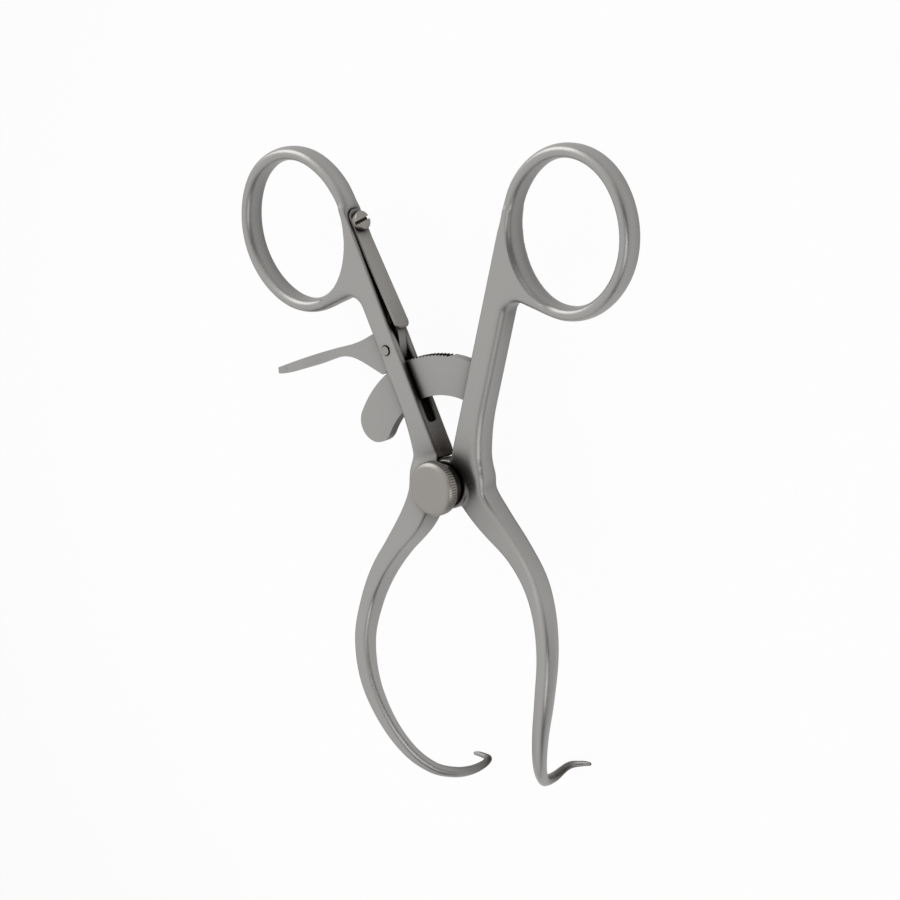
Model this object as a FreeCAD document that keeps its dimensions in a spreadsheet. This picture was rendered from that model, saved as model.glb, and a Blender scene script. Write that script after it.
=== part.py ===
import FreeCAD, Part
import math
import os
import Sketcher

# Stifle distractor: two ringed arms on one pivot screw, spread by squeezing the rings.
# X is to the right, Y towards the finger rings, Z towards the viewer of the front.
# The origin is on the pivot axis, at the middle of the rings' thickness.

os.makedirs("parts", exist_ok=True)
doc = FreeCAD.newDocument("stifle_distractor")
V = FreeCAD.Vector

# Millimetres within which two places count as the same
NEAR = 0.01

# Driving dimensions in millimetres and degrees
SIZES = {
    "ring_out": 36.2, "ring_along": 52.95, "ring_lean": 15.7,
    "ring_hole_long": 15.0, "ring_hole_short": 13.2,
    "ring_wall": 3.0, "ring_thick": 5.3, "ring_joint_angle": 45.0,
    "crest_joint_angle": 70.0,
    "arm_lean": 20.7, "arm_inner_face": -0.4, "arm_width": 5.7, "arm_thick": 6.0,
    "arm_outer_round": 2.0, "arm_inner_round": 0.5, "arm_low_end": 7.0,
    "tenon_end_angle": 90.0, "flare_start": 19.5, "flare_width": 1.9, "jaw_sink": 0.6, "jaw_inset": 0.3,
    "web_radius": 3.4, "web_under_ring": 21.3, "web_edge": 0.8,
    "hub_radius": 5.35, "hub_clearance": 0.2, "layer_gap": 0.05,
    "plate_radius": 4.6, "plate_thick": 2.9,
    "screw_head_height": 2.55, "screw_head_round": 0.8, "screw_radius": 2.3,
    "running_gap": 0.05, "seat_gap": 0.01,
    "bar_outer_radius": 27.2, "bar_inner_radius": 18.6, "bar_thick": 2.2,
    "bar_end_angle": 149.0, "bar_tenon": 2.6,
    "tooth_pitch": 2.0, "tooth_height": 0.35, "tooth_first": 84.0, "tooth_last": 118.0,
    "slot_side_gap": 0.15, "slot_under_bar": 5.1, "slot_over_spring": 3.5,
    "slot_round": 0.5,
    "lever_pin_radius": 0.95, "lever_pin_proud": 0.2, "pin_over_bar": 3.55,
    "lever_over_bar": 0.75, "nose_clearance": 0.12, "nose_angle": 5.7,
    "tail_radius": 0.9, "thumb_width": 6.4, "thumb_neck": 15.1, "thumb_middle": 20.1,
    "thumb_spread": 24.6, "thumb_shoulder": 29.3, "thumb_reach": 33.4,
    "spring_width": 4.0, "spring_thick": 0.6, "spring_bend_along": 54.3,
    "spring_over_pin": 3.1, "spring_past_screw": 2.9, "spring_stand_off": 1.25,
    "spring_end_round": 1.5, "recess_side_gap": 0.15, "recess_end_gap": 0.2,
    "screw_over_bend": 3.8, "spring_screw_head": 2.1, "spring_screw_height": 1.4,
    "spring_screw_round": 0.45, "spring_screw_shank": 1.0, "spring_screw_depth": 2.2,
    "driver_slot": 0.65, "driver_slot_depth": 0.9, "driver_slot_turn": 80.0,
    "tip_stagger": 1.1,
}

# Stations of one jaw: distance out, along, height on the left arm and on the right
# arm, in-plane width, depth, outer corner radius and inner corner radius
STATIONS = {
    "waist": (5.80, 1.60, 1.2, -0.1, 8.0, 6.0, 1.9, 0.8),
    "root": (5.95, -2.60, 2.4, -0.6, 8.2, 6.0, 1.8, 1.0),
    "shoulder": (8.60, -7.60, 2.6, -1.2, 7.2, 5.8, 1.7, 1.3),
    "upper": (14.75, -14.20, 2.6, -0.7, 5.1, 5.3, 1.6, 1.5),
    "flank": (19.97, -20.20, 2.6, 0.9, 4.4, 5.0, 1.5, 1.5),
    "belly": (23.60, -26.80, 3.3, 3.3, 3.9, 4.7, 1.4, 1.4),
    "middle": (25.05, -34.50, 5.3, 5.3, 3.9, 4.1, 1.4, 1.4),
    "lower": (24.00, -43.50, 6.3, 6.3, 3.9, 3.5, 1.4, 1.4),
    "shin": (21.30, -52.20, 5.4, 5.4, 3.6, 2.9, 1.25, 1.25),
    "ankle": (18.10, -59.70, 2.6, 2.6, 3.2, 2.5, 1.1, 1.1),
    "heel": (15.20, -64.40, -1.4, -1.4, 2.7, 2.3, 1.0, 1.0),
    "sole": (13.00, -66.35, -5.6, -5.6, 2.3, 2.2, 0.95, 0.95),
    "instep": (11.80, -66.60, -9.6, -9.6, 2.1, 2.0, 0.9, 0.9),
    "toe": (11.20, -66.45, -12.9, -12.9, 1.85, 1.8, 0.8, 0.8),
    "turn": (11.25, -66.30, -14.7, -14.7, 1.75, 1.7, 0.75, 0.75),
    "bend": (11.80, -66.15, -15.9, -15.9, 1.65, 1.6, 0.7, 0.7),
    "hook": (13.10, -65.95, -16.4, -16.4, 1.45, 1.4, 0.6, 0.6),
    "spur": (14.80, -65.70, -16.5, -16.5, 1.15, 1.1, 0.5, 0.5),
    "point": (16.50, -65.45, -16.5, -16.5, 0.7, 0.7, 0.3, 0.3),
}
STATION_SIZES = ("out", "along", "height_left", "height_right", "width", "depth",
                 "outer_corner", "inner_corner")

# The lever's edges outside the arm: distances out from its pin and up from it
LEVER_TOP = ((5.87, 2.61), (10.87, 0.71), (17.07, -0.69), (24.57, -2.69), (32.30, -5.00))
LEVER_BOTTOM = ((3.20, -5.60), (7.27, -3.69), (12.17, -2.09), (18.07, -3.09),
                (25.07, -5.09), (32.10, -6.20))

sheet = doc.addObject("Spreadsheet::Sheet", "dims")


def fill_sheet():
    row = 1
    values = dict(SIZES)
    for station, numbers in STATIONS.items():
        for size, number in zip(STATION_SIZES, numbers):
            values[station + "_" + size] = number
    for name, number in values.items():
        sheet.set("A%d" % row, name)
        sheet.set("B%d" % row, str(number))
        sheet.setAlias("B%d" % row, name)
        row += 1
    doc.recompute()


def size(name):
    return float(getattr(sheet, name))


def bind(item, prop, formula):
    item.setExpression(prop, formula)


fill_sheet()

# Shared helpers


def arm_turn(side):
    return FreeCAD.Rotation(V(0, 0, 1), -side * size("arm_lean"))


def arm_point(side, across, along, height=0.0):
    # A point given in the arm's own directions: across (outwards) and along the arm
    return arm_turn(side).multVec(V(side * across, along, height))


def fused(name, pieces):
    item = doc.addObject("Part::MultiFuse", name)
    item.Shapes = pieces
    item.Refine = False
    return item


def cut(name, base, tools):
    item = doc.addObject("Part::Cut", name)
    item.Base = base
    item.Tool = tools[0] if len(tools) == 1 else fused(name + "_tools", tools)
    item.Refine = False
    return item


def cylinder(name, radius, height, base, turn=None):
    # base is the middle of the lower end, or the formula of its height on the pivot axis
    item = doc.addObject("Part::Cylinder", name)
    bind(item, "Radius", radius)
    bind(item, "Height", height)
    if isinstance(base, str):
        bind(item, "Placement.Base.z", base)
    else:
        item.Placement = FreeCAD.Placement(base, turn or FreeCAD.Rotation())
    return item


def sketch(name, shapes, placement=None):
    item = doc.addObject("Sketcher::SketchObject", name)
    for shape in shapes:
        item.addGeometry(shape, False)
    if placement:
        item.Placement = placement
    return item


def extruded(name, outline, thickness, direction=None):
    # Extrudes an outline by equal amounts to both sides of its plane
    item = doc.addObject("Part::Extrusion", name)
    item.Base = outline
    item.DirMode = "Custom" if direction else "Normal"
    if direction:
        item.Dir = direction
    item.Solid = True
    item.Symmetric = True
    bind(item, "LengthFwd", thickness)
    return item


def line(start, end):
    return Part.LineSegment(start, end)


def arc(start, middle, end):
    return Part.Arc(start, middle, end)


def rounded_edges(name, base, choose):
    # choose gives each edge its radius, or None to leave it sharp
    doc.recompute()
    item = doc.addObject("Part::Fillet", name)
    item.Base = base
    picks = []
    for number, edge in enumerate(base.Shape.Edges, 1):
        radius = choose(edge)
        if radius:
            picks.append((number, radius, radius))
    item.Edges = picks
    return item


# Finger ring: a rounded section turned about the four centres of an oval


def oval(long_half, short_half, joint_angle):
    # Arcs of a four-centre oval about the origin, its long way on X: each one's
    # centre, radius, first angle and sweep
    joint = math.radians(joint_angle)
    step = (long_half - short_half) / (math.cos(joint) + math.sin(joint) - 1)
    end_offset = step * math.cos(joint)
    side_offset = step * math.sin(joint)
    end_radius = long_half - end_offset
    side_radius = short_half + side_offset
    side_sweep = 180 - 2 * joint_angle
    return [(V(end_offset, 0, 0), end_radius, -joint_angle, 2 * joint_angle),
            (V(0, -side_offset, 0), side_radius, joint_angle, side_sweep),
            (V(-end_offset, 0, 0), end_radius, 180 - joint_angle, 2 * joint_angle),
            (V(0, side_offset, 0), side_radius, 180 + joint_angle, side_sweep)]


def on_arc(radius, degrees):
    angle = math.radians(degrees)
    return V(radius * math.cos(angle), radius * math.sin(angle), 0)


def oval_edges(long_half, short_half, joint_angle):
    edges = []
    for centre, radius, first, sweep in oval(long_half, short_half, joint_angle):
        edges.append(arc(centre + on_arc(radius, first),
                         centre + on_arc(radius, first + sweep / 2),
                         centre + on_arc(radius, first + sweep)))
    return edges


def ring_place(side):
    # The ring's own frame: its long way is X
    return FreeCAD.Placement(V(side * size("ring_out"), size("ring_along"), 0),
                             FreeCAD.Rotation(V(0, 0, 1), 90 - side * size("ring_lean")))


def ring_path():
    half_wall = size("ring_wall") / 2
    return (size("ring_hole_long") + half_wall, size("ring_hole_short") + half_wall,
            size("ring_joint_angle"))


def ring(side, label):
    place = ring_place(side)
    section = oval_edges(size("ring_thick") / 2, size("ring_wall") / 2,
                         size("crest_joint_angle"))
    quarters = []
    for number, (centre, radius, first, sweep) in enumerate(oval(*ring_path()), 1):
        name = "%s_ring_%d" % (label, number)
        outward = place.Rotation.multVec(on_arc(1, first))
        upright = FreeCAD.Rotation(V(0, 0, 1), outward, V(0, 0, 0), "XYZ")
        start = place.multVec(centre + on_arc(radius, first))
        turned = doc.addObject("Part::Revolution", name)
        turned.Source = sketch(name + "_section", section,
                               FreeCAD.Placement(start, upright))
        turned.Axis = V(0, 0, 1)
        turned.Base = place.multVec(centre)
        turned.Angle = sweep
        turned.Solid = True
        quarters.append(turned)
    return quarters


# Arm from the ring down to the hub, with the web that fills the corner under the ring


def shank(side, label):
    # The inner face is straight to the hub, and the outer one flares out on an arc
    inner = size("arm_inner_face")
    outer = inner + size("arm_width")
    low = size("arm_low_end")
    web = size("web_radius")
    flare = size("flare_width")
    flare_length = size("flare_start") - low
    flare_radius = (flare_length ** 2 + flare ** 2) / (2 * flare)
    half_flare = math.asin(flare_length / flare_radius) / 2
    flare_middle = V(outer + flare_radius * (1 - math.cos(half_flare)),
                     size("flare_start") - flare_radius * math.sin(half_flare), 0)
    turn = arm_turn(side)
    centre = turn.inverted().multVec(ring_place(side).Base)
    centre.x *= side
    web_low = centre.y - size("web_under_ring")
    web_bend = V(outer + web * (1 - math.sqrt(0.5)), web_low + web * math.sqrt(0.5), 0)
    points = [V(inner, low, 0), V(inner, centre.y, 0), centre,
              V(centre.x, web_low + web, 0), V(outer + web, web_low + web, 0),
              V(outer, web_low, 0), V(outer, size("flare_start"), 0),
              V(outer + flare, low, 0)]

    def placed(point):
        return V(side * point.x, point.y, 0)

    p = [placed(point) for point in points]
    shapes = [line(p[0], p[1]), line(p[1], p[2]), line(p[2], p[3]), line(p[3], p[4]),
              arc(p[4], placed(web_bend), p[5]), line(p[5], p[6]),
              arc(p[6], placed(flare_middle), p[7]), line(p[7], p[0])]
    outline = sketch(label + "_shank_outline", shapes, FreeCAD.Placement(V(0, 0, 0), turn))
    blank = extruded(label + "_shank_blank", outline, "dims.arm_thick")

    def radius(edge):
        middle = turn.inverted().multVec(edge.valueAt(
            (edge.FirstParameter + edge.LastParameter) / 2))
        across = side * middle.x
        if abs(abs(middle.z) - size("arm_thick") / 2) > NEAR:
            return None
        if abs(across - inner) < NEAR:
            return size("arm_inner_round")
        level_middle = V(across, middle.y, 0)
        if abs(across - outer) < NEAR or min(
                level_middle.distanceToPoint(web_bend),
                level_middle.distanceToPoint(flare_middle)) < NEAR:
            return size("arm_outer_round")
        return None

    rounded = rounded_edges(label + "_shank_rounded", blank, radius)
    edge = size("web_edge")
    hole = sketch(label + "_ring_room_outline", oval_edges(
        size("ring_hole_long") + edge, size("ring_hole_short") + edge,
        size("ring_joint_angle")), ring_place(side))
    room = extruded(label + "_ring_room", hole, "2 * dims.arm_thick")
    return cut(label + "_shank", rounded, [room])


# Hub side and jaw: rounded sections on a smooth line through the stations


def section_sketch(name, side, placement, width, depth, outer, inner):
    # Outer corners face away from the mirror plane; local x points outwards
    x = width / 2
    y = depth / 2
    bend = 1 - math.sqrt(0.5)

    def corner(sx, sy, radius):
        first = V(sx * x, sy * (y - radius), 0)
        middle = V(sx * (x - radius * bend), sy * (y - radius * bend), 0)
        last = V(sx * (x - radius), sy * y, 0)
        return first, middle, last

    a = corner(1, 1, outer)
    b = corner(-1, 1, inner)
    c = corner(-1, -1, inner)
    d = corner(1, -1, outer)
    shapes = [line(d[0], a[0]), arc(*a), line(a[2], b[2]), arc(b[2], b[1], b[0]),
              line(b[0], c[0]), arc(*c), line(c[2], d[2]), arc(d[2], d[1], d[0])]
    if side < 0:
        shapes = [mirrored(shape) for shape in shapes]
    return sketch(name, shapes, placement)


def mirrored(shape):
    twin = shape.copy()
    twin.mirror(V(0, 0, 0), V(0, 1, 0))
    return twin


def jaw(side, label):
    # The jaw starts a little inside the arm's lower end and a little slimmer
    end_width = size("arm_width") + size("flare_width")
    centres = [arm_point(side, size("arm_inner_face") + end_width / 2,
                         size("arm_low_end") + size("jaw_sink"))]
    top_width = end_width - 2 * size("jaw_inset")
    for name in STATIONS:
        along = size(name + "_along")
        if along < 0:
            along += side * size("tip_stagger") * (along / size("sole_along")) ** 2
        centres.append(V(side * size(name + "_out"), along,
                         size(name + "_height_" + label)))
    path = Part.BSplineCurve()
    start_way = arm_turn(side).multVec(V(0, -1, 0))
    path.interpolate(centres, InitialTangent=start_way,
                     FinalTangent=centres[-1] - centres[-2])
    outward = arm_turn(side).multVec(V(side, 0, 0))
    turn = FreeCAD.Rotation(outward * side, V(0, 0, 0), start_way * -1, "ZXY")
    sections = [section_sketch(
        label + "_jaw_top", side, FreeCAD.Placement(centres[0], turn),
        top_width, size("arm_thick") - 2 * size("jaw_inset"),
        size("arm_outer_round"), size("arm_inner_round"))]
    for name, centre in zip(STATIONS, centres[1:]):
        way = V(*path.tangent(path.parameter(centre))[0])
        outward = outward - way * outward.dot(way)
        outward.normalize()
        turn = FreeCAD.Rotation(outward * side, V(0, 0, 0), way * -1, "ZXY")
        sections.append(section_sketch(
            label + "_" + name, side, FreeCAD.Placement(centre, turn),
            size(name + "_width"), size(name + "_depth"),
            size(name + "_outer_corner"), size(name + "_inner_corner")))
    loft = doc.addObject("Part::Loft", label + "_jaw")
    loft.Sections = sections
    loft.Solid = True
    loft.Ruled = False
    return loft


# Cutting tools that lie across an arm


def cross_block(name, side, across_low, across_high, low, high, width, corner):
    # A bar with rounded corners, running across the arm from one side to the other
    y = width / 2
    bend = corner * (1 - math.sqrt(0.5))
    a = (V(low + corner, -y, 0), V(low + bend, -y + bend, 0), V(low, -y + corner, 0))
    b = (V(low, y - corner, 0), V(low + bend, y - bend, 0), V(low + corner, y, 0))
    c = (V(high - corner, y, 0), V(high - bend, y - bend, 0), V(high, y - corner, 0))
    d = (V(high, -y + corner, 0), V(high - bend, -y + bend, 0), V(high - corner, -y, 0))
    shapes = []
    for this, following in ((a, b), (b, c), (c, d), (d, a)):
        shapes.append(arc(*this))
        shapes.append(line(this[2], following[0]))
    turn = arm_turn(side)
    faced = FreeCAD.Rotation(turn.multVec(V(0, 1, 0)), V(0, 0, 1), V(0, 0, 0), "XYZ")
    centre = arm_point(side, (across_low + across_high) / 2, 0)
    outline = sketch(name + "_outline", shapes, FreeCAD.Placement(centre, faced))
    return extruded(name, outline, str(across_high - across_low),
                    turn.multVec(V(1, 0, 0)))


def cross_cylinder(name, side, radius, along, across_low, across_high):
    way = arm_turn(side).multVec(V(side, 0, 0))
    return cylinder(name, radius, str(across_high - across_low),
                    arm_point(side, across_low, along), FreeCAD.Rotation(V(0, 0, 1), way))


# Ratchet bar: an arc about the pivot with saw teeth on its outer edge


def bar_root_angle(radius, depth):
    # Where the bar meets the right arm, depth millimetres inside its inner face
    return 90 - size("arm_lean") - math.degrees(
        math.asin((size("arm_inner_face") + depth) / radius))


def bar_outline(name, grow, depth, end_angle, teeth):
    outer = size("bar_outer_radius") + grow
    inner = size("bar_inner_radius") - grow
    start = bar_root_angle((outer + inner) / 2, depth + grow)
    shapes = []
    point = on_arc(outer, start)
    shapes.append(line(on_arc(inner, start), point))
    angle = start
    if teeth:
        angle = size("tooth_first")
        shapes.append(arc(point, on_arc(outer, (start + angle) / 2), on_arc(outer, angle)))
        point = on_arc(outer, angle)
        pitch = size("tooth_pitch")
        while angle + pitch <= size("tooth_last"):
            angle += pitch
            root = on_arc(outer - size("tooth_height"), angle)
            crest = on_arc(outer, angle)
            shapes.append(line(point, root))
            shapes.append(line(root, crest))
            point = crest
    shapes.append(arc(point, on_arc(outer, (angle + end_angle) / 2),
                      on_arc(outer, end_angle)))
    half = (outer - inner) / 2
    tip = on_arc((outer + inner) / 2, end_angle) + on_arc(half, end_angle + 90)
    shapes.append(arc(on_arc(outer, end_angle), tip, on_arc(inner, end_angle)))
    shapes.append(arc(on_arc(inner, end_angle),
                      on_arc(inner, (start + end_angle) / 2), on_arc(inner, start)))
    return sketch(name, shapes)


def ratchet_bar():
    outline = bar_outline("bar_outline", 0, size("bar_tenon"), size("bar_end_angle"), True)
    return extruded("ratchet_bar", outline, "dims.bar_thick")


# Release lever: a pawl in the left arm's slot with a thumb plate outside


def pin_centre():
    middle = size("arm_inner_face") + size("arm_width") / 2
    return arm_point(-1, middle, size("bar_outer_radius") + size("pin_over_bar"))


def spring_low():
    return size("bar_outer_radius") + size("pin_over_bar") + size("spring_over_pin")


def spring_back(along):
    # Across position of the leaf spring's arm side, at a distance along the arm
    bend = size("spring_bend_along")
    slope = max(0.0, (bend - along) / (bend - spring_low()))
    return size("arm_inner_face") - size("spring_stand_off") * slope


def lever_side_view():
    # Tail under the spring, arch over the bar, nose, then the two edges of the thumb plate
    pin = pin_centre()
    round_end = size("tail_radius")
    diagonal = round_end * math.sqrt(0.5)
    along = spring_low() + round_end
    across = spring_back(along) + round_end + 2 * size("seat_gap")
    tail = (arm_point(-1, across, along + round_end),
            arm_point(-1, across - diagonal, along + diagonal),
            arm_point(-1, across - round_end, along))
    pin_angle = math.degrees(math.atan2(pin.y, pin.x))
    nose_angle = pin_angle + size("nose_angle")
    nose = on_arc(size("bar_outer_radius") + size("nose_clearance"), nose_angle)
    arch_radius = size("bar_outer_radius") + size("lever_over_bar")
    arch_start = size("nose_angle") / 2
    arch = [on_arc(arch_radius, pin_angle - arch_start), on_arc(arch_radius, pin_angle),
            on_arc(arch_radius, nose_angle - size("tooth_pitch") / 2)]
    top = [pin + V(-out, up, 0) for out, up in LEVER_TOP]
    bottom = [pin + V(-out, up, 0) for out, up in LEVER_BOTTOM]
    top_curve = Part.BSplineCurve()
    top_curve.interpolate(top)
    bottom_curve = Part.BSplineCurve()
    bottom_curve.interpolate(bottom)
    thickness = top[-1] - bottom[-1]
    thumb_tip = (top[-1] + bottom[-1]) / 2 - V(thickness.Length / 2, 0, 0)
    shapes = [arc(*tail), line(tail[2], arch[0]), arc(*arch), line(arch[2], nose),
              line(nose, bottom[0]), bottom_curve, arc(bottom[-1], thumb_tip, top[-1]),
              top_curve, line(top[0], tail[0])]
    return extruded("lever_side_view", sketch("lever_outline", shapes), "dims.thumb_width")


def mirrored_level(shape):
    twin = shape.copy()
    twin.mirror(V(0, 0, 0), V(1, 0, 0))
    return twin


def lever_plan():
    # Seen from the rings: thin in the slot, spreading to the rounded thumb plate
    pin = pin_centre()
    thin = size("bar_thick") / 2
    wide = size("thumb_width") / 2
    middle_width = thin + (wide - thin) / 3
    neck = V(-size("thumb_neck"), thin, 0)
    shoulder = V(-size("thumb_shoulder"), wide * 0.9, 0)
    front = Part.BSplineCurve()
    front.interpolate([neck, V(-size("thumb_middle"), middle_width, 0),
                       V(-size("thumb_spread"), wide, 0), shoulder],
                      InitialTangent=V(-1, 0, 0), FinalTangent=V(-1, -0.25, 0))
    inner_end = size("arm_width") * 1.5
    shapes = [line(V(inner_end, -thin, 0), V(inner_end, thin, 0)),
              line(V(inner_end, thin, 0), neck), front,
              arc(shoulder, V(-size("thumb_reach"), 0, 0), V(shoulder.x, -shoulder.y, 0)),
              mirrored_level(front),
              line(V(neck.x, -thin, 0), V(inner_end, -thin, 0))]
    flat = FreeCAD.Placement(V(pin.x, pin.y, 0), FreeCAD.Rotation(V(1, 0, 0), 90))
    outline = sketch("lever_plan_outline", shapes, flat)
    return extruded("lever_plan", outline, "2 * dims.bar_outer_radius")


def release_lever():
    body = doc.addObject("Part::Common", "lever_body")
    body.Base = lever_side_view()
    body.Tool = lever_plan()
    bore = cylinder("lever_bore", "dims.lever_pin_radius + dims.running_gap",
                    "dims.arm_thick", pin_centre() - V(0, 0, size("arm_thick") / 2))
    return cut("release_lever", body, [bore])


def lever_pin():
    return cylinder("lever_pin", "dims.lever_pin_radius",
                    "dims.arm_thick + dims.lever_pin_proud",
                    pin_centre() - V(0, 0, size("arm_thick") / 2))


# Leaf spring along the left arm's inner face, and the screw that holds it


def spring_screw_along():
    return size("spring_bend_along") + size("screw_over_bend")


def spring_high():
    return spring_screw_along() + size("spring_past_screw")


def leaf_spring():
    thick = size("spring_thick")
    face = size("arm_inner_face")
    high = spring_high()
    bend = size("spring_bend_along")
    low = spring_low()
    low_back = spring_back(low)
    points = [V(face, high, 0), V(face, bend, 0), V(low_back, low, 0),
              V(low_back - thick, low, 0), V(face - thick, bend, 0), V(face - thick, high, 0)]
    points = [V(-point.x, point.y, 0) for point in points]
    shapes = [line(points[i - 1], points[i]) for i in range(len(points))]
    outline = sketch("spring_outline", shapes, FreeCAD.Placement(V(0, 0, 0), arm_turn(-1)))
    strip = extruded("spring_strip", outline, "dims.spring_width")

    def radius(edge):
        flat = abs(edge.tangentAt(edge.FirstParameter).z) < NEAR
        return size("spring_end_round") if flat and abs(edge.Length - thick) < NEAR else None

    rounded = rounded_edges("spring_rounded", strip, radius)
    hole = cross_cylinder("spring_hole", -1, "dims.spring_screw_shank + dims.seat_gap",
                          spring_screw_along(), face - 2 * thick, face + thick)
    return cut("leaf_spring", rounded, [hole])


def spring_screw():
    face = size("arm_inner_face")
    seat = face - size("spring_thick") - size("seat_gap")
    top = seat - size("spring_screw_height")
    along = spring_screw_along()
    head = cross_cylinder("spring_screw_head", -1, "dims.spring_screw_head",
                          along, top, seat)

    def radius(edge):
        centre = arm_turn(-1).inverted().multVec(edge.CenterOfMass)
        return size("spring_screw_round") if abs(-centre.x - top) < NEAR else None

    crown = rounded_edges("spring_screw_crown", head, radius)
    stem = cross_cylinder("spring_screw_stem", -1, "dims.spring_screw_shank",
                          along, seat - size("driver_slot"),
                          face + size("spring_screw_depth"))
    whole = fused("spring_screw_solid", [crown, stem])
    slot = doc.addObject("Part::Box", "driver_slot")
    bind(slot, "Length", "2 * dims.driver_slot_depth")
    bind(slot, "Width", "3 * dims.spring_screw_head")
    bind(slot, "Height", "dims.driver_slot")
    across = arm_turn(-1).multVec(V(-1, 0, 0))
    turn = FreeCAD.Rotation(across, size("driver_slot_turn")) * arm_turn(-1)
    corner = V(size("driver_slot_depth"), 1.5 * size("spring_screw_head"),
               size("driver_slot") / 2)
    slot.Placement = FreeCAD.Placement(
        arm_point(-1, top, along) - turn.multVec(corner), turn)
    return cut("spring_screw", whole, [slot])


# Pivot screw


def pivot_screw():
    seat = "dims.arm_thick / 2 + dims.layer_gap + dims.plate_thick + dims.running_gap"
    head = cylinder("screw_head", "dims.hub_radius", "dims.screw_head_height", seat)
    doc.recompute()
    top = head.Placement.Base.z + size("screw_head_height")

    def radius(edge):
        return size("screw_head_round") if abs(edge.CenterOfMass.z - top) < NEAR else None

    crown = rounded_edges("screw_crown", head, radius)
    stem = cylinder("screw_stem", "dims.screw_radius", seat + " + dims.arm_thick / 2",
                    "-dims.arm_thick / 2")
    return fused("pivot_screw", [crown, stem])


# The two arms


def right_arm():
    hub = cylinder("right_hub", "dims.hub_radius", "dims.arm_thick",
                   "-dims.arm_thick / 2")
    blank = fused("right_blank", ring(1, "right") + [shank(1, "right"),
                                                     jaw(1, "right"), hub])
    bore = cylinder("right_bore", "dims.screw_radius + dims.seat_gap",
                    "2 * dims.arm_thick", "-dims.arm_thick")
    pocket = extruded("tenon_pocket", bar_outline(
        "tenon_outline", size("seat_gap"), size("bar_tenon"),
        size("tenon_end_angle"), False),
        "dims.bar_thick + 2 * dims.seat_gap")
    return cut("right_arm", blank, [bore, pocket])


def left_arm():
    plate = cylinder("left_plate", "dims.plate_radius", "dims.plate_thick",
                     "dims.arm_thick / 2 + dims.layer_gap")
    blank = fused("left_blank", ring(-1, "left") + [shank(-1, "left"),
                                                    jaw(-1, "left"), plate])
    hub_room = cylinder("hub_room", "dims.hub_radius + dims.hub_clearance",
                        "dims.arm_thick * 1.5 + dims.layer_gap", "-dims.arm_thick")
    bore = cylinder("left_bore", "dims.screw_radius + dims.running_gap",
                    "2 * dims.arm_thick", "0")
    head_room = cylinder("head_room", "dims.hub_radius + dims.hub_clearance",
                         "dims.arm_thick",
                         "dims.arm_thick / 2 + dims.layer_gap + dims.plate_thick")
    inner = size("arm_inner_face")
    outer = inner + size("arm_width")
    beyond = size("arm_width")
    slot = cross_block("lever_slot", -1, inner - beyond, outer + beyond,
                       size("bar_inner_radius") - size("slot_under_bar"),
                       spring_low() + size("slot_over_spring"),
                       size("bar_thick") + 2 * size("slot_side_gap"), size("slot_round"))
    recess = cross_block("spring_recess", -1, inner - beyond, inner, spring_low(),
                         spring_high() + size("recess_end_gap"),
                         size("spring_width") + 2 * size("recess_side_gap"),
                         size("spring_end_round"))
    pin_hole = cylinder("pin_hole", "dims.lever_pin_radius + dims.seat_gap",
                        "2 * dims.arm_thick", pin_centre() - V(0, 0, size("arm_thick")))
    screw_hole = cross_cylinder("spring_screw_hole", -1,
                                "dims.spring_screw_shank + dims.seat_gap",
                                spring_screw_along(), inner - size("spring_screw_shank"),
                                inner + size("spring_screw_depth") + size("seat_gap"))
    return cut("left_arm", blank, [hub_room, head_room, bore, slot, recess, pin_hole,
                                   screw_hole])


def main():
    pieces = {
        "right_arm": right_arm(), "left_arm": left_arm(), "ratchet_bar": ratchet_bar(),
        "release_lever": release_lever(), "lever_pin": lever_pin(),
        "leaf_spring": leaf_spring(), "spring_screw": spring_screw(),
        "pivot_screw": pivot_screw(),
    }
    doc.recompute()
    for label, item in pieces.items():
        item.Label = label
    for item in doc.Objects:
        if "Invalid" in item.State or "Error" in item.State:
            raise RuntimeError("%s failed: %s" % (item.Name, item.State))
    for label, item in pieces.items():
        shape = item.Shape
        if shape.isNull() or not shape.isValid():
            raise RuntimeError(label + " is not a valid solid")
        print(label, len(shape.Solids), round(shape.Volume, 2), shape.BoundBox)
    for label, item in pieces.items():
        item.Shape.exportStep("parts/" + label + ".step")


main()
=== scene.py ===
import bmesh
import bpy
import math
from mathutils import Matrix, Vector


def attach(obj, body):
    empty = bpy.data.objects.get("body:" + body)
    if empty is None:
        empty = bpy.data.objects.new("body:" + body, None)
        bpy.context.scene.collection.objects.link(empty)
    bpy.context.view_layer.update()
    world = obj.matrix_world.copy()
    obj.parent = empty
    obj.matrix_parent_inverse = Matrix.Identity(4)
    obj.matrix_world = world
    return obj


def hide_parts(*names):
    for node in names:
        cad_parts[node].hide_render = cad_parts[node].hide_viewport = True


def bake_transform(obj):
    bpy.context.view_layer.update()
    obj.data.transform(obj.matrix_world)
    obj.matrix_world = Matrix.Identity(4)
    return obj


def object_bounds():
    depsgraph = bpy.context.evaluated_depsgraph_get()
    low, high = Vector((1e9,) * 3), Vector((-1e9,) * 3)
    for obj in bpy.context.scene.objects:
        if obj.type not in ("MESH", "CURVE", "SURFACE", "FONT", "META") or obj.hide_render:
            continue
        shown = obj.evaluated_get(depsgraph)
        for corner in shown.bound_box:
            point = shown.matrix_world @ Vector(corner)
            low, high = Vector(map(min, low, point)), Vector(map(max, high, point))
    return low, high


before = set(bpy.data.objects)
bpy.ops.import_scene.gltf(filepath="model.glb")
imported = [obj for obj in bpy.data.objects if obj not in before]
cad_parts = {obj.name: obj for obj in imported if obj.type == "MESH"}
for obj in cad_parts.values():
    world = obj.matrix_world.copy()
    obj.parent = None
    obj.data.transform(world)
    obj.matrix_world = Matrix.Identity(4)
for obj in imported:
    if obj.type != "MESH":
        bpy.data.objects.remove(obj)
CAD_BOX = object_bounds()

MM = 0.001

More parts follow.
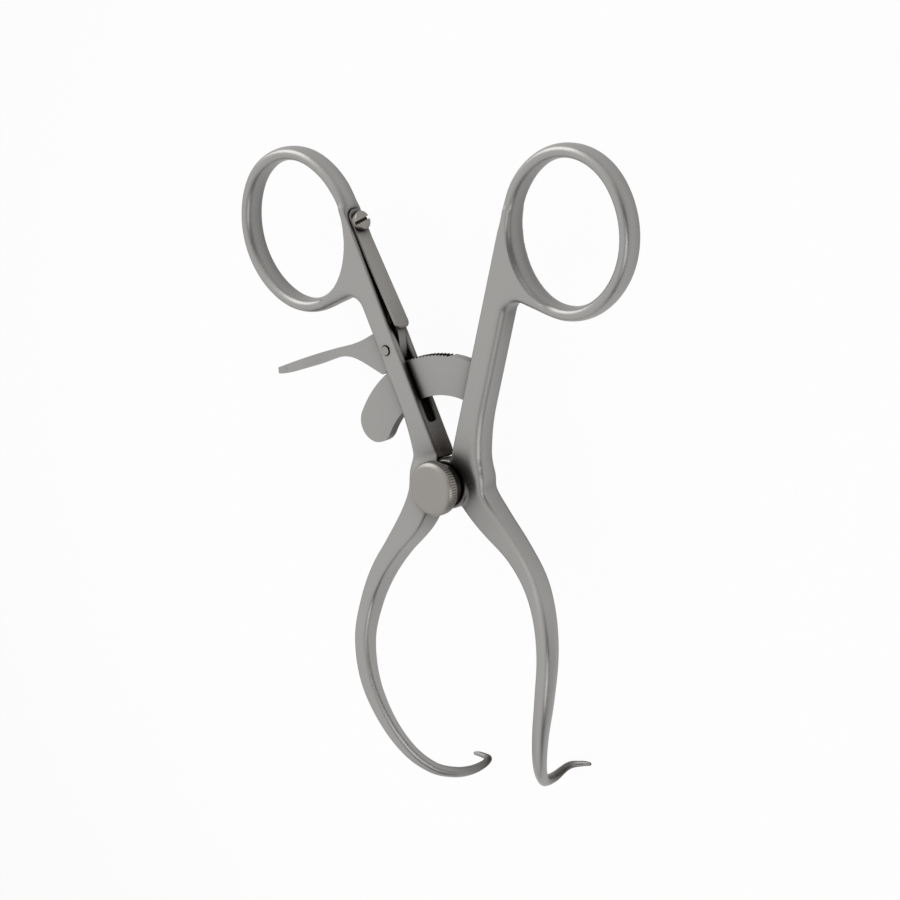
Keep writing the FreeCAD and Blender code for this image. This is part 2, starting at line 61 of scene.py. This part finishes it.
# The photograph's viewpoint, in metres, and its directions
EYE = Vector((0.3999, 0.1291, 0.4594))
TURN = math.radians(41.079)
TILT = math.radians(11.359)
ROLL = math.radians(5.473)
SENSOR = 36.0
FOCAL_PIXELS = 2974.2
PHOTO_WIDTH = 900
CLIP_NEAR = 0.01
CLIP_FAR = 20


def make_camera():
    right = Vector((math.cos(TURN), 0, -math.sin(TURN)))
    up = Vector((-math.sin(TURN) * math.sin(TILT), math.cos(TILT),
                 -math.cos(TURN) * math.sin(TILT)))
    back = Vector((math.sin(TURN) * math.cos(TILT), math.sin(TILT),
                   math.cos(TURN) * math.cos(TILT)))
    rolled_right = right * math.cos(ROLL) - up * math.sin(ROLL)
    rolled_up = right * math.sin(ROLL) + up * math.cos(ROLL)
    data = bpy.data.cameras.new("photo_camera")
    data.sensor_width = SENSOR
    data.lens = FOCAL_PIXELS / PHOTO_WIDTH * SENSOR
    data.clip_start = CLIP_NEAR
    data.clip_end = CLIP_FAR
    camera = bpy.data.objects.new("photo_camera", data)
    axes = Matrix((rolled_right, rolled_up, back)).transposed().to_4x4()
    camera.matrix_world = Matrix.Translation(EYE) @ axes
    bpy.context.scene.collection.objects.link(camera)
    bpy.context.scene.camera = camera


make_camera()


# Materials


def node_material(name):
    material = bpy.data.materials.new(name)
    material.use_nodes = True
    tree = material.node_tree
    shader = next(node for node in tree.nodes if node.type == "BSDF_PRINCIPLED")
    return material, tree, shader


def add(tree, kind, **settings):
    node = tree.nodes.new(kind)
    for name, value in settings.items():
        setattr(node, name, value)
    return node


# Sockets of a colour Mix node
MIX_SHARE, MIX_FIRST, MIX_SECOND = 0, 6, 7
MIX_COLOUR = 2

# Clouds in the finish, and how far they move the roughness down and up
CLOUD_SCALE = 90
CLOUD_DETAIL = 4
SMOOTHER = 0.05
ROUGHER = 0.06
# The warmer share of red, green and blue in a cloud
WARM_POWERS = (1, 0.7, 0.3)
GRAIN_DETAIL = 3
GRAIN_STRENGTH = 0.25
# Worn edges: the pointiness where wear starts and where it is full, its share and its gain
WEAR_START = 0.56
WEAR_FULL = 0.80
WEAR_SHARE = 0.10
WEAR_GAIN = 1.35
# Painted shade in crevices: how far the ambient occlusion looks for cover, in metres, the
# painted shade colour deep inside them, and how open a place is where the painted shade is
# darkest and where it isn't darkened at all
SHADE_REACH = 0.025
SHADE_SAMPLES = 12
SHADE_DEEP = 0.50
SHADE_OPEN = 0.97
# The colour of the painted shade deep inside crevices
PAINTED_SHADE_TONE = (0.020, 0.015, 0.011, 1)


def steel(name, colour, roughness, grain_scale, grain_depth, warm):
    # Satin steel: fine blasted grain, cloudy roughness, bright worn edges, and painted shade
    # that darkens crevices
    material, tree, shader = node_material(name)
    link = tree.links.new
    shader.inputs["Metallic"].default_value = 1.0
    place = add(tree, "ShaderNodeTexCoord")
    cloud = add(tree, "ShaderNodeTexNoise")
    cloud.inputs["Scale"].default_value = CLOUD_SCALE
    cloud.inputs["Detail"].default_value = CLOUD_DETAIL
    link(place.outputs["Object"], cloud.inputs["Vector"])
    grain = add(tree, "ShaderNodeTexNoise")
    grain.inputs["Scale"].default_value = grain_scale
    grain.inputs["Detail"].default_value = GRAIN_DETAIL
    link(place.outputs["Object"], grain.inputs["Vector"])
    rough = add(tree, "ShaderNodeMapRange")
    rough.inputs["To Min"].default_value = roughness - SMOOTHER
    rough.inputs["To Max"].default_value = roughness + ROUGHER
    link(cloud.outputs["Fac"], rough.inputs["Value"])
    link(rough.outputs["Result"], shader.inputs["Roughness"])
    tint = add(tree, "ShaderNodeMix", data_type="RGBA")
    warmer = [part * warm ** power for part, power in zip(colour, WARM_POWERS)]
    tint.inputs[MIX_FIRST].default_value = (*colour, 1)
    tint.inputs[MIX_SECOND].default_value = (*warmer, 1)
    link(cloud.outputs["Fac"], tint.inputs[MIX_SHARE])
    edge = add(tree, "ShaderNodeNewGeometry")
    wear = add(tree, "ShaderNodeMapRange")
    wear.inputs["From Min"].default_value = WEAR_START
    wear.inputs["From Max"].default_value = WEAR_FULL
    wear.inputs["To Max"].default_value = WEAR_SHARE
    link(edge.outputs["Pointiness"], wear.inputs["Value"])
    worn = add(tree, "ShaderNodeMix", data_type="RGBA")
    worn.inputs[MIX_SECOND].default_value = (*(part * WEAR_GAIN for part in colour), 1)
    link(wear.outputs["Result"], worn.inputs[MIX_SHARE])
    link(tint.outputs[MIX_COLOUR], worn.inputs[MIX_FIRST])
    # Painted shade: ambient occlusion mixes the colour towards the painted shade tone where
    # parts and crevices hide the open room
    shade = add(tree, "ShaderNodeAmbientOcclusion", samples=SHADE_SAMPLES)
    shade.inputs["Distance"].default_value = SHADE_REACH
    depth = add(tree, "ShaderNodeMapRange")
    depth.inputs["From Min"].default_value = SHADE_DEEP
    depth.inputs["From Max"].default_value = SHADE_OPEN
    link(shade.outputs["AO"], depth.inputs["Value"])
    painted_shade_mix = add(tree, "ShaderNodeMix", data_type="RGBA")
    painted_shade_mix.inputs[MIX_FIRST].default_value = PAINTED_SHADE_TONE
    link(depth.outputs["Result"], painted_shade_mix.inputs[MIX_SHARE])
    link(worn.outputs[MIX_COLOUR], painted_shade_mix.inputs[MIX_SECOND])
    link(painted_shade_mix.outputs[MIX_COLOUR], shader.inputs["Base Color"])
    bump = add(tree, "ShaderNodeBump")
    bump.inputs["Strength"].default_value = GRAIN_STRENGTH
    bump.inputs["Distance"].default_value = grain_depth
    link(grain.outputs["Fac"], bump.inputs["Height"])
    link(bump.outputs["Normal"], shader.inputs["Normal"])
    return material


SATIN = steel("satin_steel", colour=(0.34, 0.336, 0.330), roughness=0.38,
              grain_scale=2600, grain_depth=0.00002, warm=1.06)
TURNED = steel("turned_steel", colour=(0.305, 0.292, 0.276), roughness=0.40,
               grain_scale=2000, grain_depth=0.00001, warm=1.08)
SPRING = steel("spring_steel", colour=(0.30, 0.292, 0.280), roughness=0.40,
               grain_scale=2200, grain_depth=0.00001, warm=1.05)

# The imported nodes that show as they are
NODE_MATERIALS = {
    "ratchet_bar": SATIN, "release_lever": SATIN, "lever_pin": TURNED, "spring_screw": TURNED,
}


# Arms as one smooth skin each: ring and shank as packed, with jaw and hub blended in

LEFT = -1
RIGHT = 1
LEAN = math.radians(20.7)
INNER_FACE = -0.4
SHANK_CUT = 7.05
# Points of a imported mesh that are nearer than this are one
WELD = 0.0005 * MM
SKIN_VOXEL = 0.20 * MM
SKIN_ROUNDS = 20
CORNER_STEPS = 8
ROW_STEPS = 7

# Rows inside the shank: along, width and how far they stand inside its faces
SHANK_ROWS = ((12.5, 6.29, 0.04), (9.5, 6.92, 0.03), (7.0, 7.60, 0.0))
SHANK_DEPTH = 6.0
SHANK_OUTER_CORNER = 2.0
SHANK_INNER_CORNER = 0.5
# Rows of the jaw: out, along, height on the left and on the right arm, width, depth,
# outer corner and inner corner, in millimetres
JAW_ROWS = (
    (5.15, 1.85, 1.3, -0.1, 9.0, 6.0, 1.6, 0.8),
    (5.60, -2.60, 2.7, -0.6, 7.4, 5.7, 1.2, 0.8),
    (8.45, -7.60, 3.2, -1.3, 6.6, 5.3, 1.0, 0.8),
    (14.70, -14.20, 3.1, -0.9, 4.7, 4.9, 0.9, 0.8),
    (19.97, -20.20, 3.0, 0.8, 4.2, 4.7, 0.9, 0.8),
    (23.60, -26.80, 3.5, 3.3, 3.9, 4.5, 1.1, 1.1),
    (25.05, -34.50, 5.3, 5.3, 3.9, 4.1, 1.2, 1.25),
    (24.00, -43.50, 6.3, 6.3, 4.0, 3.6, 1.25, 1.35),
    (21.30, -52.20, 5.4, 5.4, 3.7, 3.0, 1.25, 1.3),
    (18.10, -59.70, 2.6, 2.6, 3.3, 2.6, 1.15, 1.2),
    (15.20, -64.40, -1.4, -1.4, 2.8, 2.4, 1.05, 1.1),
    (13.00, -66.35, -5.6, -5.6, 2.4, 2.3, 1.0, 1.0),
    (11.80, -66.95, -9.6, -9.6, 2.15, 2.05, 0.85, 0.85),
    (11.20, -66.70, -12.9, -12.9, 1.85, 1.8, 0.8, 0.8),
    (11.25, -66.35, -14.7, -14.7, 1.7, 1.65, 0.75, 0.75),
    (11.80, -66.15, -15.9, -15.9, 1.6, 1.55, 0.7, 0.7),
    (13.10, -66.00, -16.4, -16.4, 1.4, 1.35, 0.6, 0.6),
    (14.80, -65.75, -16.5, -16.5, 1.2, 1.15, 0.5, 0.5),
    (16.50, -65.70, -16.5, -16.5, 0.85, 0.85, 0.38, 0.38),
)
TIP_STAGGER = 0.85
SOLE_ALONG = -66.35

# Places on the shank, across, along and up, blended over a wider reach: where it runs
# into the ring, and where the jaw begins
SEAM_PLACES = ((-0.4, 61.8, 2.8), (-0.4, 61.8, -2.8), (14.6, 44.4, 2.8), (14.6, 44.4, -2.8),
               (7.0, 6.9, 2.6), (7.0, 6.9, -2.6))
SEAM_REACH = 5.0
SEAM_ROUNDS = 60

# Closed outlines of radius and height, turned about the pivot axis
BORE = 2.33
ON_AXIS = 0.001
TURN_SEGMENTS = 96
HUB_PROFILE = ((BORE, -3.0), (5.1, -3.0), (5.35, -2.75), (5.35, 2.75), (5.1, 3.0), (BORE, 3.0))
PLATE_PROFILE = ((BORE, 3.05), (4.6, 3.05), (4.6, 5.7), (4.35, 5.95), (BORE, 5.95))
HUB_ROOM = ((ON_AXIS, -8.0), (5.55, -8.0), (5.55, 3.05), (ON_AXIS, 3.05))
HEAD_ROOM = ((ON_AXIS, 5.95), (5.9, 5.95), (5.9, 12.0), (ON_AXIS, 12.0))
BORE_ROOM = ((ON_AXIS, -8.0), (BORE, -8.0), (BORE, 8.0), (ON_AXIS, 8.0))


def arm_place(side, across, along, height=0.0):
    return Vector((side * (across * math.cos(LEAN) + along * math.sin(LEAN)),
                   along * math.cos(LEAN) - across * math.sin(LEAN), height))


def jaw_rows(side):
    # Each row: centre, width, depth, outer corner and inner corner
    rows = []
    for along, width, sunk in SHANK_ROWS:
        centre = arm_place(side, INNER_FACE + width / 2, along)
        rows.append((*centre, width - 2 * sunk, SHANK_DEPTH - 2 * sunk,
                     SHANK_OUTER_CORNER, SHANK_INNER_CORNER))
    for out, along, left, right, width, depth, outer, inner in JAW_ROWS:
        if along < 0:
            along += side * TIP_STAGGER * (along / SOLE_ALONG) ** 2
        height = left if side < 0 else right
        rows.append((side * out, along, height, width, depth, outer, inner))
    return rows


def smooth_rows(rows):
    # A smooth curve through the rows, with every column carried along it
    lengths = [0.0]
    for a, b in zip(rows, rows[1:]):
        lengths.append(lengths[-1] + (Vector(b[:3]) - Vector(a[:3])).length)
    last = len(rows) - 1
    slopes = []
    for i in range(len(rows)):
        low, high = max(i - 1, 0), min(i + 1, last)
        reach = lengths[high] - lengths[low]
        slopes.append([(b - a) / reach for a, b in zip(rows[low], rows[high])])
    fine = []
    for i in range(last):
        reach = lengths[i + 1] - lengths[i]
        for step in range(ROW_STEPS):
            t = step / ROW_STEPS
            start = 2 * t ** 3 - 3 * t ** 2 + 1
            end = 1 - start
            leave = (t ** 3 - 2 * t ** 2 + t) * reach
            arrive = (t ** 3 - t ** 2) * reach
            fine.append([start * a + end * b + leave * c + arrive * d for a, b, c, d
                         in zip(rows[i], rows[i + 1], slopes[i], slopes[i + 1])])
    return fine + [list(rows[last])]


# The four corners of a section: their signs and where each one's turn starts, in degrees
CORNERS = ((1, 1, 0), (-1, 1, 90), (-1, -1, 180), (1, -1, 270))
CORNER_TURN = 90


def section_points(centre, outward, level, width, depth, outer, inner):
    # A rectangle with rounded corners, the outer pair and the inner pair
    points = []
    for sx, sy, turn in CORNERS:
        radius = outer if sx > 0 else inner
        for step in range(CORNER_STEPS + 1):
            angle = math.radians(turn + CORNER_TURN * step / CORNER_STEPS)
            x = sx * (width / 2 - radius) + radius * math.cos(angle)
            y = sy * (depth / 2 - radius) + radius * math.sin(angle)
            points.append(centre + outward * x + level * y)
    return points


def skinned(loops):
    # A closed mesh over loops with equal numbers of points
    shape = bmesh.new()
    rings = [[shape.verts.new(point * MM) for point in loop] for loop in loops]
    for low, high in zip(rings, rings[1:]):
        for i in range(len(low)):
            shape.faces.new((low[i - 1], low[i], high[i], high[i - 1]))
    shape.faces.new(rings[0])
    shape.faces.new(rings[-1])
    bmesh.ops.recalc_face_normals(shape, faces=shape.faces)
    return shape


def jaw_skin(side):
    rows = smooth_rows(jaw_rows(side))
    centres = [Vector(row[:3]) for row in rows]
    outward = arm_place(side, 1, 0).normalized()
    loops = []
    for i, row in enumerate(rows):
        way = centres[min(i + 1, len(rows) - 1)] - centres[max(i - 1, 0)]
        way.normalize()
        outward = (outward - way * outward.dot(way)).normalized()
        loops.append(section_points(centres[i], outward, way.cross(outward), *row[3:]))
    return skinned(loops)


def turned_skin(profile, segments=TURN_SEGMENTS, radius_of=None):
    # A closed ring or disc turned about the pivot axis from a profile
    shape = bmesh.new()
    rings = []
    for i in range(segments):
        angle = math.tau * i / segments
        ring = []
        for j, (radius, height) in enumerate(profile):
            if radius_of:
                radius = radius_of(j, i, radius)
            place = Vector((radius * math.cos(angle), radius * math.sin(angle), height))
            ring.append(shape.verts.new(place * MM))
        rings.append(ring)
    for i in range(segments):
        a, b = rings[i - 1], rings[i]
        for j in range(len(profile)):
            shape.faces.new((a[j - 1], b[j - 1], b[j], a[j]))
    bmesh.ops.recalc_face_normals(shape, faces=shape.faces)
    return shape


def new_piece(name, shape):
    mesh = bpy.data.meshes.new(name)
    shape.to_mesh(mesh)
    shape.free()
    piece = bpy.data.objects.new(name, mesh)
    bpy.context.scene.collection.objects.link(piece)
    return piece


def with_modifiers(piece):
    # The piece keeps the shape that its modifiers give, and loses the modifiers
    bpy.context.view_layer.update()
    graph = bpy.context.evaluated_depsgraph_get()
    mesh = bpy.data.meshes.new_from_object(piece.evaluated_get(graph))
    piece.modifiers.clear()
    piece.data = mesh


def carve(piece, profile):
    tool = new_piece("carving_tool", turned_skin(profile))
    change = piece.modifiers.new("carve", "BOOLEAN")
    change.object = tool
    change.operation = "DIFFERENCE"
    change.solver = "EXACT"
    with_modifiers(piece)
    bpy.data.objects.remove(tool)


def shank_skin(node, side):
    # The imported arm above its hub: ring, shank, slots and screw holes
    shape = bmesh.new()
    shape.from_mesh(bpy.data.objects[node].data)
    bmesh.ops.remove_doubles(shape, verts=shape.verts, dist=WELD)
    everything = shape.verts[:] + shape.edges[:] + shape.faces[:]
    bmesh.ops.bisect_plane(shape, geom=everything,
                           plane_co=arm_place(side, 0, SHANK_CUT) * MM,
                           plane_no=arm_place(side, 0, 1), clear_inner=True)
    rim = [edge for edge in shape.edges if edge.is_boundary]
    bmesh.ops.triangle_fill(shape, edges=rim, use_beauty=True)
    return shape


def blended_arm(node, side, disc_profile, rooms):
    jaw = new_piece(node + "_jaw", jaw_skin(side))
    for profile in rooms:
        carve(jaw, profile)
    shape = shank_skin(node, side)
    for part in (jaw, new_piece(node + "_disc", turned_skin(disc_profile))):
        shape.from_mesh(part.data)
        bpy.data.objects.remove(part)
    arm = new_piece(node + "_skin", shape)
    skin = arm.modifiers.new("skin", "REMESH")
    skin.mode = "VOXEL"
    skin.voxel_size = SKIN_VOXEL
    relax = arm.modifiers.new("relax", "SMOOTH")
    relax.iterations = SKIN_ROUNDS
    with_modifiers(arm)
    seam = arm.vertex_groups.new(name="seam")
    for vertex in arm.data.vertices:
        gap = min((vertex.co / MM - arm_place(side, *place)).length for place in SEAM_PLACES)
        if gap < SEAM_REACH:
            seam.add([vertex.index], min(1.0, 2 - 2 * gap / SEAM_REACH), "REPLACE")
    blend = arm.modifiers.new("blend", "SMOOTH")
    blend.vertex_group = "seam"
    blend.iterations = SEAM_ROUNDS
    with_modifiers(arm)
    for face in arm.data.polygons:
        face.use_smooth = True
    arm.data.materials.append(SATIN)
    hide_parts(node)
    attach(arm, "left_half" if side < 0 else "right_half")


blended_arm("left_arm", LEFT, PLATE_PROFILE, (HUB_ROOM, HEAD_ROOM, BORE_ROOM))
blended_arm("right_arm", RIGHT, HUB_PROFILE, (BORE_ROOM,))


# Pivot screw: a plain shank under a head with a softly rounded rim and a reeded side

SCREW_PROFILE = (
    (ON_AXIS, -3.0), (2.1, -3.0), (2.28, -2.85), (2.28, 6.0), (5.5, 6.0), (5.79, 6.25),
    (5.79, 6.5), (5.79, 7.5), (5.7, 7.78), (5.46, 8.1), (5.1, 8.37), (4.7, 8.52),
    (4.3, 8.55), (ON_AXIS, 8.55))
REEDED_ROWS = (6, 7)
REED_DEPTH = 0.13
REED_SEGMENTS = 240
REED_PITCH = 4
SHARP_TURN = math.radians(35)


def reeded(row, segment, radius):
    in_groove = row in REEDED_ROWS and segment % REED_PITCH == 0
    return radius - REED_DEPTH if in_groove else radius


def make_pivot_screw():
    screw = new_piece("pivot_screw_head", turned_skin(SCREW_PROFILE, REED_SEGMENTS, reeded))
    for face in screw.data.polygons:
        face.use_smooth = True
    screw.data.set_sharp_from_angle(angle=SHARP_TURN)
    screw.data.materials.append(TURNED)
    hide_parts("pivot_screw")
    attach(screw, "right_half")


make_pivot_screw()


# Leaf spring: the imported strip cut into short lengths

STRIP_LOW = 34.0
STRIP_HIGH = 54.0
STRIP_CUTS = 40


def make_leaf_spring():
    shape = bmesh.new()
    shape.from_mesh(bpy.data.objects["leaf_spring"].data)
    bmesh.ops.remove_doubles(shape, verts=shape.verts, dist=WELD)
    for step in range(1, STRIP_CUTS):
        along = STRIP_LOW + (STRIP_HIGH - STRIP_LOW) * step / STRIP_CUTS
        everything = shape.verts[:] + shape.edges[:] + shape.faces[:]
        bmesh.ops.bisect_plane(shape, geom=everything, plane_co=arm_place(LEFT, 0, along) * MM,
                               plane_no=arm_place(LEFT, 0, 1))
    strip = new_piece("leaf_spring_strip", shape)
    for face in strip.data.polygons:
        face.use_smooth = True
    strip.data.set_sharp_from_angle(angle=SHARP_TURN)
    strip.data.materials.append(SPRING)
    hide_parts("leaf_spring")
    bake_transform(strip)


make_leaf_spring()


def dress_nodes():
    for node, material in NODE_MATERIALS.items():
        mesh = bpy.data.objects[node].data
        mesh.materials.clear()
        mesh.materials.append(material)


dress_nodes()


# Floor, world and lamps

FLOOR_SIZE = 3.0
FLOOR_ROUGHNESS = 0.9
# Share of the floor's white that the camera sees, and that reflections see
FLOOR_SEEN = 0.95
FLOOR_MIRRORED = 0.85
# The white paper lies on a dark table, which only reflections show: where the paper's
# tone starts to fade and where it ends, in metres, and the share that is left there
PAPER_NEAR = 0.08
PAPER_FAR = 0.28
PAPER_LEFT = 0.12
PAPER_TONE = (0.8, 0.8, 0.8, 1)
TABLE_TONE = (0.05, 0.05, 0.05, 1)
ROOM_WHITE = (1, 1, 1, 1)
ROOM_STRENGTH = 0.7
# Direction of the studio's unlit side, as the steel mirrors it, its colour and its spread
UNLIT_WAY = (0.90, -0.42, 0.10)
UNLIT_TONE = (0.07, 0.065, 0.06, 1)
UNLIT_START = 0.30
UNLIT_FULL = 0.85


def light_path_share(tree, seen, mirrored, fade=None):
    # How far the white shows: one share for camera rays, one for glossy and clear ones
    link = tree.links.new
    path = add(tree, "ShaderNodeLightPath")
    bounced = add(tree, "ShaderNodeMath", operation="MAXIMUM")
    link(path.outputs["Is Glossy Ray"], bounced.inputs[0])
    link(path.outputs["Is Transmission Ray"], bounced.inputs[1])
    dimmed = add(tree, "ShaderNodeMath", operation="MULTIPLY")
    dimmed.inputs[1].default_value = mirrored
    link(bounced.outputs[0], dimmed.inputs[0])
    if fade:
        faded = add(tree, "ShaderNodeMath", operation="MULTIPLY")
        link(dimmed.outputs[0], faded.inputs[0])
        link(fade, faded.inputs[1])
        dimmed = faded
    direct = add(tree, "ShaderNodeMath", operation="MULTIPLY")
    direct.inputs[1].default_value = seen
    link(path.outputs["Is Camera Ray"], direct.inputs[0])
    share = add(tree, "ShaderNodeMath", operation="MAXIMUM")
    link(dimmed.outputs[0], share.inputs[0])
    link(direct.outputs[0], share.inputs[1])
    return share.outputs[0]


def make_floor():
    low = CAD_BOX[0][2]
    mesh = bpy.data.meshes.new("floor")
    corners = [(x * FLOOR_SIZE, y * FLOOR_SIZE, low) for x, y, turn in CORNERS]
    mesh.from_pydata(corners, [], [(0, 1, 2, 3)])
    floor = bpy.data.objects.new("floor", mesh)
    bpy.context.scene.collection.objects.link(floor)
    material, tree, shader = node_material("floor_paper")
    link = tree.links.new
    shader.inputs["Roughness"].default_value = FLOOR_ROUGHNESS
    glow = add(tree, "ShaderNodeEmission")
    mix = add(tree, "ShaderNodeMixShader")
    place = add(tree, "ShaderNodeTexCoord")
    reach = add(tree, "ShaderNodeVectorMath", operation="LENGTH")
    link(place.outputs["Object"], reach.inputs[0])
    paper = add(tree, "ShaderNodeMapRange", interpolation_type="SMOOTHSTEP")
    paper.inputs["From Min"].default_value = PAPER_NEAR
    paper.inputs["From Max"].default_value = PAPER_FAR
    paper.inputs["To Min"].default_value = 1.0
    paper.inputs["To Max"].default_value = PAPER_LEFT
    link(reach.outputs["Value"], paper.inputs["Value"])
    tone = add(tree, "ShaderNodeMix", data_type="RGBA")
    tone.inputs[MIX_FIRST].default_value = TABLE_TONE
    tone.inputs[MIX_SECOND].default_value = PAPER_TONE
    link(paper.outputs["Result"], tone.inputs[MIX_SHARE])
    link(tone.outputs[MIX_COLOUR], shader.inputs["Base Color"])
    white = light_path_share(tree, FLOOR_SEEN, FLOOR_MIRRORED, paper.outputs["Result"])
    link(white, mix.inputs[0])
    link(shader.outputs[0], mix.inputs[1])
    link(glow.outputs[0], mix.inputs[2])
    output = next(node for node in tree.nodes if node.type == "OUTPUT_MATERIAL")
    link(mix.outputs[0], output.inputs["Surface"])
    mesh.materials.append(material)


def make_world():
    world = bpy.data.worlds.new("studio")
    bpy.context.scene.world = world
    world.use_nodes = True
    tree = world.node_tree
    link = tree.links.new
    plain = next(node for node in tree.nodes if node.type == "BACKGROUND")
    plain.inputs["Color"].default_value = ROOM_WHITE
    plain.inputs["Strength"].default_value = ROOM_STRENGTH
    white = add(tree, "ShaderNodeBackground")
    white.inputs["Color"].default_value = ROOM_WHITE
    mix = add(tree, "ShaderNodeMixShader")
    link(light_path_share(tree, 1, 1), mix.inputs[0])
    link(plain.outputs[0], mix.inputs[1])
    link(white.outputs[0], mix.inputs[2])
    # The room's unlit side, which only the steel's reflections show
    unlit = add(tree, "ShaderNodeBackground")
    unlit.inputs["Color"].default_value = UNLIT_TONE
    place = add(tree, "ShaderNodeTexCoord")
    facing = add(tree, "ShaderNodeVectorMath", operation="DOT_PRODUCT")
    facing.inputs[1].default_value = UNLIT_WAY
    link(place.outputs["Generated"], facing.inputs[0])
    spread = add(tree, "ShaderNodeMapRange", interpolation_type="SMOOTHSTEP")
    spread.inputs["From Min"].default_value = UNLIT_START
    spread.inputs["From Max"].default_value = UNLIT_FULL
    link(facing.outputs["Value"], spread.inputs["Value"])
    path = add(tree, "ShaderNodeLightPath")
    glossy = add(tree, "ShaderNodeMath", operation="MULTIPLY")
    link(path.outputs["Is Glossy Ray"], glossy.inputs[0])
    link(spread.outputs["Result"], glossy.inputs[1])
    room = add(tree, "ShaderNodeMixShader")
    link(glossy.outputs[0], room.inputs[0])
    link(mix.outputs[0], room.inputs[1])
    link(unlit.outputs[0], room.inputs[2])
    output = next(node for node in tree.nodes if node.type == "OUTPUT_WORLD")
    link(room.outputs[0], output.inputs["Surface"])


def make_lamp(name, place, size, power):
    # A soft round lamp that points at the pivot
    data = bpy.data.lights.new(name, "AREA")
    data.shape = "DISK"
    data.size = size
    data.energy = power
    lamp = bpy.data.objects.new(name, data)
    lamp.location = place
    lamp.rotation_euler = (-Vector(place)).to_track_quat("-Z", "Y").to_euler()
    bpy.context.scene.collection.objects.link(lamp)


make_floor()
make_world()
make_lamp("key", place=(-0.55, 0.75, 0.3), size=0.9, power=4)
make_lamp("fill", place=(0.75, -0.35, 0.45), size=0.7, power=2.2)

bpy.context.scene.view_settings.view_transform = "Standard"
